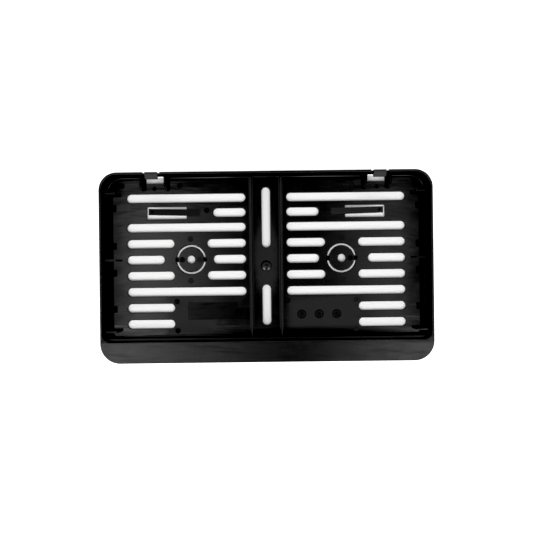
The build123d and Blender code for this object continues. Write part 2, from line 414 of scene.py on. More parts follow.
def settled_dust() -> Tree:
    """Specks of dust on what faces up.

    Returns:
        The group. Dust runs from 0 to 1.
    """
    inputs = {"Place": "Vector", "Facing": "Vector", "Amount": "Float"}
    effect = SharedEffect("settled_dust", inputs, ("Dust",))
    bench, place = effect.bench, effect.read("Place")
    largest = 0.16
    cell = bench.node("TexVoronoi", {"Vector": place, "Scale": 420.0, "Randomness": 1.0})
    size = bench.node("SeparateColor", {"Color": cell.outputs["Color"]}).outputs["Red"]
    near = bench.sum("MULTIPLY", bench.ramp(size, low=0.72, high=1.0), largest)
    speck = bench.sum("LESS_THAN", cell.outputs["Distance"], near)
    up = bench.ramp(bench.parts(effect.read("Facing"))["Z"], low=0.6, high=0.95)
    drift = bench.ramp(bench.noise(place, scale=24.0), low=0.4, high=0.7)
    laid = bench.sum("MULTIPLY", bench.sum("MULTIPLY", speck, up), drift)
    return effect.give(Dust=bench.sum("MULTIPLY", laid, effect.read("Amount"), clamp=True))


def patch_groups() -> dict[PatchShape, Tree]:
    """Soft patches, for what changes over a surface or over the light tent.

    Returns:
        The group of each shape. Patch is 1 inside the shape and 0 outside it.
    """
    inputs = {"Place": "Vector", "Centre": "Vector", "Half": "Vector", "Soft": "Float"}
    box, oval = (SharedEffect("soft_" + shape.value, inputs, ("Patch",)) for shape in PatchShape)

    bench = box.bench
    off = bench.vector("ABSOLUTE", bench.vector("SUBTRACT", box.read("Place"), box.read("Centre")))
    past = bench.parts(bench.vector("SUBTRACT", off, box.read("Half")))
    worst = bench.sum("MAXIMUM", past["X"], bench.sum("MAXIMUM", past["Y"], past["Z"]))
    box.give(Patch=bench.ramp(worst, 0.0, box.read("Soft"), 1.0, 0.0))

    bench = oval.bench
    off = bench.vector("SUBTRACT", oval.read("Place"), oval.read("Centre"))
    share = bench.vector("DIVIDE", off, oval.read("Half"))
    out = bench.node("VectorMath", {"Vector": share}, operation="LENGTH").outputs["Value"]
    oval.give(Patch=bench.ramp(out, oval.read("Soft"), 1.0, 1.0, 0.0))
    return {PatchShape.BOX: box.bench.tree, PatchShape.OVAL: oval.bench.tree}


@dataclass
class Effects:
    """The shared node groups, each built once."""

    grain: Tree = field(default_factory=moulded_grain)
    flow: Tree = field(default_factory=flow_marks)
    scuffs: Tree = field(default_factory=handling_scuffs)
    dust: Tree = field(default_factory=settled_dust)
    patches: dict[PatchShape, Tree] = field(default_factory=patch_groups)


@dataclass(frozen=True)
class SoftPatch:
    """A patch with soft sides.

    A box fades over the length soft outside its half sizes. An oval fades inside
    them, from the share soft of its reach.
    """

    what: str
    shape: PatchShape
    centre: Numbers
    half: Numbers
    soft: float

    def mask(self, bench: Bench, effects: Effects, place: Wire) -> Socket:
        """Places the patch's mask, 1 inside the patch."""
        sizes = {"Centre": self.centre, "Half": self.half, "Soft": self.soft}
        return bench.put(effects.patches[self.shape], self.what, Place=place, **sizes)["Patch"]


@dataclass(frozen=True)
class FinishAndPaintedLightPatch(SoftPatch):
    """A stretch of the moulding with its own roughness and reflection strength. The roughness is a duller or
    smoother mould surface; a reflection strength below the satin's 0.5 paints shade there, and one above it
    paints a highlight.
    """

    roughness: float
    specular: float = 0.5


@dataclass(frozen=True)
class DimSpot(SoftPatch):
    """A stretch of the floor that glows less, because the holder shades it."""

    glow: float


@dataclass(frozen=True)
class SoftBox(SoftPatch):
    """A strong lamp overhead, placed by its slopes: how far it is sideways for each metre up."""

    strength: float


@dataclass(frozen=True)
class PlasticFinish:
    """Black plastic as it comes out of one kind of mould surface. A reflection strength below 0.5, in the
    finish or in one of its patches, paints shade; one above 0.5 paints a highlight.
    """

    name: str
    colour: Numbers
    roughness: float
    mottle: float
    grain_pitch: float
    grain_depth: float
    scuff: float
    dust: float
    specular: float = 0.5
    wave: float = 0.0
    patches: tuple[FinishAndPaintedLightPatch, ...] = ()
    streak_share: float = 0.6
    scuff_dulls: float = 0.16
    dust_dulls: float = 0.4
    deep_share: float = 0.72
    worn_share: float = 2.6
    dust_colour: Numbers = (0.09, 0.085, 0.08, 1.0)

    def shaded(self, share: float) -> Numbers:
        """The finish's colour, darker or lighter by a share."""
        return (*(share * part for part in self.colour), 1.0)

    def material(self, effects: Effects) -> bpy.types.Material:
        """Builds the finish's material.

        Args:
            effects: The shared node groups.

        Returns:
            The material.
        """
        made = bpy.data.materials.new(self.name)
        made.use_nodes = True
        bench = Bench(made.node_tree)
        shader = bench.tree.nodes["Principled BSDF"]
        place = bench.node("TexCoord", {}).outputs["Object"]
        facing = bench.node("NewGeometry", {}).outputs["Normal"]

        grain = bench.put(effects.grain, Place=place, Pitch=self.grain_pitch)
        streak = bench.put(effects.flow, Place=place)["Streak"]
        scuff = bench.put(effects.scuffs, Place=place, Amount=self.scuff)["Scuff"]
        dust = bench.put(effects.dust, Place=place, Facing=facing, Amount=self.dust)["Dust"]

        dull: Wire = self.roughness
        sheen: Wire = self.specular
        for patch in self.patches:
            mask = patch.mask(bench, effects, place)
            dull = bench.blend(mask, dull, patch.roughness)
            # A patch's reflection strength below the satin's paints shade, and above it paints a highlight.
            sheen = bench.blend(mask, sheen, patch.specular)
        for mark, gain in (
            (bench.sum("SUBTRACT", grain["Mottle"], 0.5), self.mottle),
            (bench.sum("SUBTRACT", streak, 0.5), self.streak_share * self.mottle),
            (scuff, self.scuff_dulls),
            (dust, self.dust_dulls),
        ):
            dull = bench.sum("MULTIPLY_ADD", mark, gain, dull, clamp=True)
        bench.feed(shader.inputs["Roughness"], dull)
        bench.feed(shader.inputs["Specular IOR Level"], sheen)
        shader.inputs["IOR"].default_value = 1.5

        tint: Wire = self.shaded(self.deep_share)
        for mark, colour in (
            (grain["Mottle"], self.shaded(1.0)),
            (scuff, self.shaded(self.worn_share)),
            (dust, self.dust_colour),
        ):
            tint = bench.blend(mark, tint, colour, MixKind.RGBA)
        bench.feed(shader.inputs["Base Color"], tint)

        waves = bench.sum("MULTIPLY", grain["Wave"], self.wave)
        relief = bench.sum("MULTIPLY_ADD", grain["Height"], self.grain_depth, waves)
        bump = bench.node("Bump", {"Strength": 1.0, "Distance": 1.0, "Height": relief})
        bench.feed(shader.inputs["Normal"], bump.outputs["Normal"])
        return made


def mount(name: str) -> dict:
    """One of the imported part's mounts, by its name."""
    return next(row for row in frame["record"]["mounts"] if row["name"] == name)


@dataclass
class PlateRoom:
    """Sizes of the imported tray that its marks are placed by."""

    base: float = 2.0 * mount("screw_holes")["pos_m"][2]
    seat: float = mount("plate_seat")["pos_m"][2]
    front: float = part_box(Moulding.NODE.value)[1].z
    hole_line: float = mount("screw_holes")["pos_m"][1]
    hole_x: float = mount("screw_holes")["dims"]["spacing_x_mm"] / 2 * MM
    foot_x: float = 152.77 * MM
    tongue_root: float = 63.3 * MM
    tongue_tip: float = 110.6 * MM
    tongue_y: float = 52.6 * MM
    tongue_rise: float = 9.9 * MM
    band_mid: float = -79.3 * MM

    def on_base(self, x: float, rise: float) -> Matrix:
        """A place on the base, by its height over the hole line."""
        return Matrix.Translation((x, self.hole_line + rise, self.base))

    def both_sides(self, x: float, rise: float) -> list[Matrix]:
        """A place on the base and its mirror image."""
        return [self.on_base(side * x, rise) for side in SIDES]

    def from_hole(self, place: Vector) -> float:
        """Distance of a place from the nearer screw hole."""
        return math.hypot(abs(place.x) - self.hole_x, place.y - self.hole_line)


def ease_foot(tool: Piece, depth: float, ease: float) -> None:
    """Eases the edge round a cutting tool's foot.

    Args:
        tool: The tool, with its foot at minus depth.
        depth: Depth of the mark.
        ease: Size of the eased edge.
    """
    with editing(tool):
        pick(tool, MeshPart.EDGE, lambda edge: all(vert.co.z < -0.99 * depth for vert in edge.verts))
        bpy.ops.mesh.bevel(offset=ease, segments=2, profile=0.5, affect="EDGES")


def round_tool(name: str, radius: float, depth: float, ease: float, corners: int = 40) -> Piece:
    """Models a round cutting tool, eased round its foot.

    Args:
        name: Name of the tool.
        radius: Radius of the mark.
        depth: Depth of the mark.
        ease: Size of the eased edge.
        corners: Number of sides.

    Returns:
        The tool, centred on the mark at the origin.
    """
    cylinder = bpy.ops.mesh.primitive_cylinder_add
    tool = started(name, cylinder, vertices=corners, radius=radius, depth=2 * depth)
    ease_foot(tool, depth, ease)
    return tool


@dataclass
class EjectorPins:
    """Round marks of the pins that push the moulding out of the mould, clear ones and faint ones.

    A pin is placed by its distance from the middle and its height over the hole line.
    Uneven pins have a clear mark at the left and a faint one at the right; a faint mark is the same mark with
    more reflection, as painted sheen that makes it show fainter.
    """

    room: PlateRoom
    radius: float = 2.8 * MM
    hook_radius: float = 2.2 * MM
    depth: float = 0.25 * MM
    ease: float = 0.1 * MM
    disc_reach: float = 8.4 * MM
    hook: Numbers = mm(107.1, 68.6)
    clear: tuple[Numbers, ...] = (mm(56.9, 47.4), mm(19.8, 22.9), mm(19.8, -7.75), mm(20.2, -40.3))
    faint: tuple[Numbers, ...] = (mm(73, 19.8), mm(73, -20.4))
    uneven: tuple[Numbers, ...] = (mm(138.5, 71.7), mm(82.8, 71.6), mm(86.5, -40.3), mm(86, -68.2))

    def tool(self, skin: Skin) -> Piece:
        """Builds the cutting tool of the clear or the faint pins.

        Args:
            skin: Skin of their marks.

        Returns:
            One object with every pin.
        """
        is_clear = skin is Skin.TOOL_MARK
        side = -1.0 if is_clear else 1.0
        disc_pin = (self.room.hole_x - side * self.disc_reach, 0.0)
        places = [self.room.on_base(side * x, rise) for x, rise in self.uneven]
        for x, rise in (*(self.clear if is_clear else self.faint), disc_pin):
            places += self.room.both_sides(x, rise)
        made = [spread(round_tool("ejector_pin", self.radius, self.depth, self.ease), places, "pins")]
        if is_clear:
            hook_pin = round_tool("hook_pin", self.hook_radius, self.depth, self.ease)
            made.append(spread(hook_pin, self.room.both_sides(*self.hook), "hook_pins"))
        return joined(made, "ejector_pins")


@dataclass
class LifterMarks:
    """Oblong marks of the blades beside the side walls."""

    room: PlateRoom
    width: float = 5.2 * MM
    height: float = 6.8 * MM
    depth: float = 0.3 * MM
    ease: float = 0.08 * MM
    corner: float = 0.5 * MM
    from_foot: float = 6.27 * MM
    rises: Numbers = mm(50.2, 13.5, -12.4, -47.1)

    def tool(self) -> Piece:
        """Builds the blades' cutting tool.

        Returns:
            One object with every blade.
        """
        size = (self.width, self.height, 2 * self.depth)
        blade = started("lifter_blade", bpy.ops.mesh.primitive_cube_add, size=1.0, scale=size)
        settle(blade)
        with editing(blade):
            pick(blade, MeshPart.EDGE, lambda edge: edge.verts[0].co.xy == edge.verts[1].co.xy)
            bpy.ops.mesh.bevel(offset=self.corner, segments=4, profile=0.5, affect="EDGES")
        ease_foot(blade, self.depth, self.ease)
        x = self.room.foot_x - self.from_foot
        places = [place for rise in self.rises for place in self.room.both_sides(x, rise)]
        return spread(blade, places, "lifter_blades")


@dataclass
class TongueMarks:
    """Small round marks near the tips of the spring tongues, square to their slope."""

    room: PlateRoom
    radius: float = 1.5 * MM
    depth: float = 0.2 * MM
    ease: float = 0.06 * MM
    from_tip: float = 3.5 * MM

    def tool(self) -> Piece:
        """Builds the tongues' cutting tool.

        Returns:
            One object with both marks.
        """
        room = self.room
        slope = math.atan2(room.tongue_rise, room.tongue_tip - room.tongue_root)
        x = room.tongue_tip - self.from_tip
        z = room.base + (x - room.tongue_root) * math.tan(slope)
        places = [
            Matrix.Translation((side * x, room.tongue_y, z)) @ Matrix.Rotation(-side * slope, 4, "Y")
            for side in SIDES
        ]
        return spread(round_tool("tongue_pin", self.radius, self.depth, self.ease, 24), places, "tongue_pins")


@dataclass
class DateClocks:
    """Inserts that tell when a part was made: a sunk ring, a raised one in it and a pointer.

    Each face has its place across the tray and the turn of its pointer in degrees.
    """

    room: PlateRoom
    radius: float = 4.5 * MM
    ring: float = 2.0 * MM
    wire: float = 0.15 * MM
    depth: float = 0.3 * MM
    ease: float = 0.1 * MM
    core_sinks: float = 0.2
    stem_width: float = 1.0 * MM
    stem_length: float = 2.9 * MM
    head_radius: float = 1.5 * MM
    y: float = -46.3 * MM
    faces: tuple[Numbers, ...] = ((33.4 * MM, 135.0), (50.3 * MM, 200.0), (67.2 * MM, 70.0))

    def ring_tool(self) -> Piece:
        """Models the sunk ring: a disc with its middle pushed up out of the way.

        Returns:
            The ring's cutting tool, at the origin.
        """
        tool = round_tool("clock_ring", self.radius, self.depth, self.ease, 56)
        with editing(tool):
            pick(tool, MeshPart.FACE, lambda face: face.normal.z < -0.99)
            bpy.ops.mesh.inset(thickness=self.ring - self.ease, depth=0.0)
            bpy.ops.mesh.inset(thickness=self.ease, depth=(self.core_sinks - 1.0) * self.depth)
        return tool

    def pointer_tool(self) -> Piece:
        """Models the sunk pointer: a stem with a three-cornered head, pointing along +X.

        Returns:
            The pointer's cutting tool, at the origin.
        """
        cylinder = bpy.ops.mesh.primitive_cylinder_add
        head = started("clock_pointer", cylinder, vertices=3, radius=self.head_radius, depth=2 * self.depth)
        head.data.transform(Matrix.Rotation(math.radians(-90.0), 4, "Z"))
        head.data.transform(Matrix.Translation((self.stem_length / 2, 0.0, 0.0)))
        with editing(head):
            pick(head, MeshPart.FACE, lambda face: face.normal.x < -0.9)
            bpy.ops.mesh.inset(thickness=0.8 * self.head_radius - self.stem_width / 2, use_even_offset=False)
            bpy.ops.mesh.extrude_region_move(TRANSFORM_OT_translate={"value": (-self.stem_length, 0.0, 0.0)})
        ease_foot(head, self.depth, self.ease / 2)
        return head

    def tool(self) -> Piece:
        """Builds the clocks' cutting tool.

        Returns:
            One object with every ring and pointer.
        """
        places = [Matrix.Translation((x, self.y, self.room.base)) for x, _ in self.faces]
        turns = [Matrix.Rotation(math.radians(turn), 4, "Z") for _, turn in self.faces]
        rings = spread(self.ring_tool(), places, "rings")
        pointers = spread(self.pointer_tool(), [a @ b for a, b in zip(places, turns)], "pointers")
        return joined([rings, pointers], "date_clocks")

    def raised_rings(self) -> Piece:
        """Models the raised rings round the pointers.

        Returns:
            One object with every ring.
        """
        radii = {"major_radius": self.radius - self.ring, "minor_radius": self.wire}
        torus = bpy.ops.mesh.primitive_torus_add
        ring = started("clock_wire", torus, major_segments=44, minor_segments=10, **radii)
        level = self.room.base - self.core_sinks * self.depth
        return spread(ring, [Matrix.Translation((x, self.y, level)) for x, _ in self.faces], "clock_rings")


@dataclass
class GateStub:
    """The stump of the sprue: a smooth low dome that almost fills the gate's dimple."""

    room: PlateRoom
    dimple: float = 0.9 * MM
    ball: float = 8.4 * MM
    height: float = 1.68 * MM
    root: float = 0.1 * MM

    def build(self) -> Piece:
        """Models the stump, with its foot in the dimple's floor.

        Returns:
            The stump.
        """
        ball = bpy.ops.mesh.primitive_uv_sphere_add
        stump = started("gate_stub", ball, segments=44, ring_count=56, radius=self.ball)
        cut = Vector((0.0, 0.0, self.ball - self.height))
        foot = Vector((0.0, 0.0, self.room.base - self.dimple - self.root))
        with editing(stump):
            bpy.ops.mesh.select_all(action="SELECT")
            bpy.ops.mesh.bisect(plane_co=cut, plane_no=(0.0, 0.0, 1.0), use_fill=True, clear_inner=True)
            bpy.ops.mesh.select_all(action="SELECT")
            bpy.ops.transform.translate(value=foot - cut)
        return stump


@dataclass(frozen=True)
class Zone:
    """A box of the moulding between two corners, with its mirror image where it is paired."""

    low: Numbers
    high: Numbers
    paired: bool = True

    def holds(self, place: Vector) -> bool:
        """Whether a place lies in the zone."""
        spot = (abs(place.x) if self.paired else place.x, place.y, place.z)
        return all(low < value < high for low, value, high in zip(self.low, spot, self.high))


@dataclass
class TrayMoulding:
    """The shown moulding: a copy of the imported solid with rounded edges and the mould's marks.

    Outward edges get a share of the full rounding, all of it round the fixing slots.
    They stay sharp at the heads of the hooks, the ends of the ledge and the bridges.
    """

    room: PlateRoom
    rim_round: float = 0.8 * MM
    edge_share: float = 0.25
    ring_share: float = 0.5
    sharp: float = math.radians(38.0)
    smooth: float = math.radians(50.0)
    flat: float = math.radians(0.3)
    bend: float = math.radians(4.0)
    broad: float = 1.2 * MM
    upright: float = 0.35
    level: float = 0.05 * MM
    outer_corner: Numbers = mm(138, 71)
    outer_radius: float = 17.5 * MM
    wall: float = 2.4 * MM
    top_wall: float = 77.0 * MM
    ring_reach: float = 16.0 * MM
    gate_reach: float = 7.0 * MM
    bridge_reach: Numbers = mm(11, 15)
    bridge_half: float = 2.6 * MM
    hook_heads: Zone = Zone(mm(-1, 86.4, 3.5), mm(FAR, FAR, 8))
    ledge_ends: Zone = Zone(mm(146, -FAR, 11.7), mm(FAR, -58, 12.5))
    tongue_windows: Zone = Zone(mm(60, 45.6, -FAR), mm(118, 59.6, FAR))
    panel: Zone = Zone(mm(-95, -62, -FAR), mm(-17.5, -29, FAR), paired=False)
    panel_slots: tuple[Zone, ...] = (
        Zone(mm(-95, -43.3, -FAR), mm(-84, -34.9, FAR), paired=False),
        Zone(mm(-95, -58.8, -FAR), mm(-84, -50.4, FAR), paired=False),
    )
    materials: dict[Skin, bpy.types.Material] = field(default_factory=dict)

    def merged_copy(self) -> Piece:
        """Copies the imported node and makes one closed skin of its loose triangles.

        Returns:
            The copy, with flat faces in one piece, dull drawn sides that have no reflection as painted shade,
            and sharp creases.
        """
        mesh = frame["nodes"][Moulding.NODE.value].data.copy()
        tray = bpy.data.objects.new("tray_moulding", mesh)
        bpy.context.collection.objects.link(tray)
        mesh.materials.clear()
        for skin in Skin:
            mesh.materials.append(self.materials[skin])
        with editing(tray):
            bpy.ops.mesh.select_all(action="SELECT")
            bpy.ops.mesh.remove_doubles(threshold=0.001 * MM)
            bpy.ops.mesh.customdata_custom_splitnormals_clear()
            bpy.ops.mesh.dissolve_limited(angle_limit=self.flat)
        with editing(tray):
            pick(tray, MeshPart.FACE, self.is_drawn)
            tray.active_material_index = Skin.DRAWN_SIDE.value
            bpy.ops.object.material_slot_assign()
            pick(tray, MeshPart.EDGE, self.is_crease)
            bpy.ops.mesh.mark_sharp()
        return tray

    def is_drawn(self, face: bmesh.types.BMFace) -> bool:
        """Whether a face was drawn along the mould's opening, inside the outer wall.

        Args:
            face: A face of the moulding.

        Returns:
            True on the duller upright faces.
        """
        place = face.calc_center_median().xy
        past = [max(abs(at) - corner, 0.0) for at, corner in zip(place, self.outer_corner)]
        beyond = Vector([math.copysign(length, at) for length, at in zip(past, place)])
        outside = face.normal.xy.dot(beyond) > 0.0 and beyond.length > self.outer_radius - self.wall
        return abs(face.normal.z) < self.upright and not outside

    def is_broad(self, face: bmesh.types.BMFace) -> bool:
        """Whether a face is wide for its length."""
        return face.calc_area() > self.broad * max(side.calc_length() for side in face.edges)

    def is_crease(self, edge: bmesh.types.BMEdge) -> bool:
        """Whether broad faces meet at an edge at a slight angle, as at a tongue's root."""
        return all(map(self.is_broad, edge.link_faces)) and edge.calc_face_angle(0.0) > self.bend

    def rim_share(self, place: Vector) -> float:
        """Share of the full rounding at a place.

        Args:
            place: A corner of the moulding.

        Returns:
            The share, 0 where it is too cramped to be rounded.
        """
        from_hole = self.room.from_hole(place)
        low, high = self.bridge_reach
        at_bridge = low < from_hole < high and abs(place.y - self.room.hole_line) < self.bridge_half
        if at_bridge or self.hook_heads.holds(place) or self.ledge_ends.holds(place):
            return 0.0
        if abs(place.z - self.room.base) > self.level or place.y > self.top_wall:
            return self.edge_share
        if from_hole < self.ring_reach:
            return self.ring_share
        in_panel = self.panel.holds(place) and not any(slot.holds(place) for slot in self.panel_slots)
        at_gate = place.xy.length < self.gate_reach
        return self.edge_share if in_panel or at_gate or self.tongue_windows.holds(place) else 1.0

    def takes(self, share: float, edge: bmesh.types.BMEdge) -> bool:
        """Whether an edge is an outward one with just this share of the rounding."""
        outward = edge.is_convex and edge.calc_face_angle(0.0) > self.sharp
        return outward and min(self.rim_share(vert.co) for vert in edge.verts) == share

    def round_edges(self, tray: Piece) -> None:
        """Rounds the outward edges, as the mould's own corners do.

        Args:
            tray: The merged copy.
        """
        skins = {self.ring_share: Skin.SATIN, 1.0: Skin.SATIN, self.edge_share: Skin.RUBBED_EDGE}
        for share, skin in skins.items():
            with editing(tray):
                bpy.ops.mesh.select_all(action="SELECT")
                bpy.ops.transform.edge_bevelweight(value=-1.0)
                pick(tray, MeshPart.EDGE, partial(self.takes, share))
                bpy.ops.transform.edge_bevelweight(value=1.0)
            sizes = {"width": share * self.rim_round, "segments": 3 if skin is Skin.SATIN else 2}
            limits = {"limit_method": "WEIGHT", "use_clamp_overlap": False, "loop_slide": False}
            apply_modifier(tray, "BEVEL", material=skin.value, **sizes, **limits)

    def carve(self, tray: Piece, detail: Piece, how: Carving, skin: Skin) -> None:
        """Sinks a detail into the moulding, or joins a raised one to it.

        Args:
            tray: The moulding.
            detail: The detail. It is used up.
            how: Whether it is sunk or raised.
            skin: Skin that it leaves.
        """
        detail.data.materials.clear()
        detail.data.materials.append(self.materials[skin])
        settings = {"object": detail, "solver": "EXACT", "material_mode": "TRANSFER"}
        apply_modifier(tray, "BOOLEAN", operation=how.value, **settings)
        bpy.data.objects.remove(detail)

    def build(self, effects: Effects) -> Piece:
        """Builds and dresses the moulding.

        Args:
            effects: The shared node groups.

        Returns:
            The moulding, riding on the part's body.
        """
        room = self.room
        self.materials = {skin: finish.material(effects) for skin, finish in finishes(room).items()}
        tray = self.merged_copy()
        self.round_edges(tray)
        for skin in (Skin.TOOL_MARK, Skin.FAINT_MARK):
            self.carve(tray, EjectorPins(room).tool(skin), Carving.SINK, skin)
        clocks = DateClocks(room)
        for marks in (LifterMarks(room), TongueMarks(room), clocks):
            self.carve(tray, marks.tool(), Carving.SINK, Skin.TOOL_MARK)
        self.carve(tray, clocks.raised_rings(), Carving.GROW, Skin.RUBBED_EDGE)
        self.carve(tray, GateStub(room).build(), Carving.GROW, Skin.SATIN)
        select_only(tray)
        bpy.ops.object.shade_smooth_by_angle(angle=self.smooth)
        apply_modifier(tray, "WEIGHTED_NORMAL", keep_sharp=True, weight=90)
        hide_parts(Moulding.NODE.value)
        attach(tray, Moulding.BODY.value)
        return tray


def satin_patches(room: PlateRoom) -> tuple[FinishAndPaintedLightPatch, ...]:
    """Where the satin is duller or smoother than elsewhere, and where a lower reflection paints shade or a
    higher one paints a highlight, later patches on top.

    Args:
        room: Sizes of the tray.

    Returns:
        The patches.
    """
    box, oval = PatchShape
    base = room.base
    made = [
        FinishAndPaintedLightPatch("band", box, (0.0, room.band_mid, room.front), mm(170, 10.5, 1.5), 0.6 * MM, 0.15),
        FinishAndPaintedLightPatch("clock_insert", box, (*mm(55, -46), base), mm(23.5, 6.5, FAR), 17 * MM, 0.57),
        FinishAndPaintedLightPatch("bare_insert", box, (*mm(-74, -44), base), mm(11, 9, FAR), 18 * MM, 0.55),
        # painted shade: the sunk panel's floor reflects less than the satin
        FinishAndPaintedLightPatch("sunk_panel", box, mm(-52, -46, 1.75), mm(60, 20, 0.3), 0.1 * MM, 0.12, 0.22),
        FinishAndPaintedLightPatch("rib_tops", box, mm(0, 9, 8), mm(16.5, 76, 0.4), 0.2 * MM, 0.55),
        FinishAndPaintedLightPatch("channel", oval, (0.0, room.hole_line + 2 * MM, base), mm(15, 52, FAR), 0.4, 0.5),
        # the dimple is rough and its low reflection paints shade in it; the gate stub's raised reflection
        # paints its highlights
        FinishAndPaintedLightPatch("dimple", oval, (*mm(-0.3, 0.8), base), mm(5.8, 5.6, FAR), 0.85, 0.3, 0.06),
        FinishAndPaintedLightPatch("gate", oval, (0.0, 0.0, base), mm(4.4, 4.4, FAR), 0.9, 0.2, 0.75),
        # painted shade: the base hardly reflects along the foot of the lower band's wall, mostly right of the
        # middle
        FinishAndPaintedLightPatch("low_foot_shade", oval, (*mm(42, -66), base), mm(140, 9.5, 3), 0.4, 0.2, 0.05),
        # painted shade: the base reflects little in the upper left corner
        FinishAndPaintedLightPatch("corner", oval, (*mm(-144, 74), base), mm(9.5, 8, 3), 0.3, 0.2, 0.15),
        # painted shade: the ledge in the lower band's wall reflects less than the satin
        FinishAndPaintedLightPatch("ledge", box, (0.0, -68 * MM, room.seat), mm(153, 2.2, 0.5), 0.2 * MM, 0.25, 0.26),
    ]
    for side, tongue_painted_sheen in zip(SIDES, (0.5, 0.3)):
        hook, nook_shade, foot = mm(side * 106.7, 85, 16), mm(side * 144.8, 79.2, 3), mm(side * 150.4, 0, 5)
        bridges = [(side * room.hole_x + reach, room.hole_line, base) for reach in mm(13.5, -13.5)]
        tongue = (side * 87 * MM, room.tongue_y, 8 * MM)
        made += [
            # the hook ramps are dull and grainy; their raised reflection paints a highlight on them
            FinishAndPaintedLightPatch("hook_ramp", box, hook, mm(6.2, 3.5, 3), 0.3 * MM, 0.5, 0.9),
            # painted shade: the bridges beside each screw hole hardly reflect
            *(FinishAndPaintedLightPatch("bridge", box, at, mm(1.5, 1.5, FAR), 0.6 * MM, 0.3, 0.05) for at in bridges),
            # painted shade: the foot of each upper corner reflects little
            FinishAndPaintedLightPatch("nook_shade", oval, nook_shade, mm(7.2, 7.2, 4), 0.5, 0.3, 0.1),
            # painted shade: the left tongue reflects less than the right one, its mirror image
            FinishAndPaintedLightPatch("tongue", box, tongue, mm(25, 4, 5.6), 0.3 * MM, 0.38, tongue_painted_sheen),
            # painted shade: the base reflects little along the foot of each side wall
            FinishAndPaintedLightPatch("side_foot_shade", box, foot, mm(2.9, 76, 6), 0.8 * MM, 0.35, 0.1),
        ]
    # painted shade: the tops of the fins beside the hooks hardly reflect
    fins = (0.0, 76.5 * MM, room.seat)
    made.append(FinishAndPaintedLightPatch("hook_fin_shade", box, fins, mm(125, 10.8, 0.6), 0.2 * MM, 0.5, 0.06))
    return tuple(made)


def finishes(room: PlateRoom) -> dict[Skin, PlasticFinish]:
    """The moulding's finishes.

    Args:
        room: Sizes of the tray.

    Returns:
        The finish of each skin.
    """
    # dull pin ends; their low reflection strength also paints the marks darker, as painted shade
    tool_mark = PlasticFinish(
        "dull_black_tool_mark", (0.003, 0.003, 0.0032), roughness=0.5, specular=0.1, mottle=0.1,
        grain_pitch=0.3 * MM, grain_depth=0.01 * MM, scuff=0.0, dust=0.1,
    )
    return {
        Skin.SATIN: PlasticFinish(
            "satin_black_plastic", (0.004, 0.004, 0.0043), roughness=0.11, mottle=0.06, wave=0.32 * MM,
            grain_pitch=0.42 * MM, grain_depth=0.004 * MM, scuff=0.8, dust=0.4, patches=satin_patches(room),
        ),
        Skin.RUBBED_EDGE: PlasticFinish(
            "rubbed_black_edge", (0.009, 0.009, 0.0095), roughness=0.27, mottle=0.12,
            grain_pitch=0.3 * MM, grain_depth=0.006 * MM, scuff=1.0, dust=0.0,
        ),
        Skin.TOOL_MARK: tool_mark,
        # drawn sides are dull from the mould; their reflection strength of 0 paints them in shade
        Skin.DRAWN_SIDE: PlasticFinish(
            "drawn_black_side", (0.0045, 0.0045, 0.0048), roughness=0.6, specular=0.0, mottle=0.1,
            grain_pitch=0.35 * MM, grain_depth=0.008 * MM, scuff=0.5, dust=0.0,
        ),
        # faint marks: the tool marks with more reflection, as painted sheen that makes them show fainter
        Skin.FAINT_MARK: replace(tool_mark, name="faint_black_tool_mark", roughness=0.35, specular=0.3),
    }


@dataclass(frozen=True)
class Reflector:
    """A dim graded reflector on one side of the camera, placed by its slopes.

    It grows from dark to full over inner, falls to the share spill over outer,
    and fades upwards over top. Its upper edge over slant climbs outwards by rise,
    and its lower edge over bottom drops outwards by dip.
    """

    side: float
    strength: float
    inner: Numbers
    outer: Numbers = (0.5, 0.6)
    top: Numbers = (-0.165, -0.15)
    bottom: Numbers = (-0.26, -0.3)
    slant: Numbers = (0.3, 0.4)
    rise: float = 0.0
    dip: float = 0.0
    spill: float = 0.0

    def lit(self, bench: Bench, across: Wire, along: Wire) -> Wire:
        """Places the reflector's light.

        Args:
            bench: The world's bench.
            across: Slope to the right.
            along: Slope to the top.

        Returns:
            The light's socket, from 0 to 1.
        """
        out = bench.sum("MULTIPLY", across, self.side)
        leaning = bench.sum("MULTIPLY_ADD", out, -self.rise, along)
        sunken = bench.sum("MULTIPLY_ADD", out, self.dip, along)
        light: Wire = bench.ramp(out, *self.inner)
        for share in (
            bench.ramp(out, *self.outer, 1.0, self.spill),
            bench.ramp(along, *self.top, 1.0, 0.0),
            bench.ramp(leaning, *self.slant, 1.0, 0.0),
            bench.ramp(sunken, *reversed(self.bottom)),
        ):
            light = bench.sum("MULTIPLY", light, share)
        return light


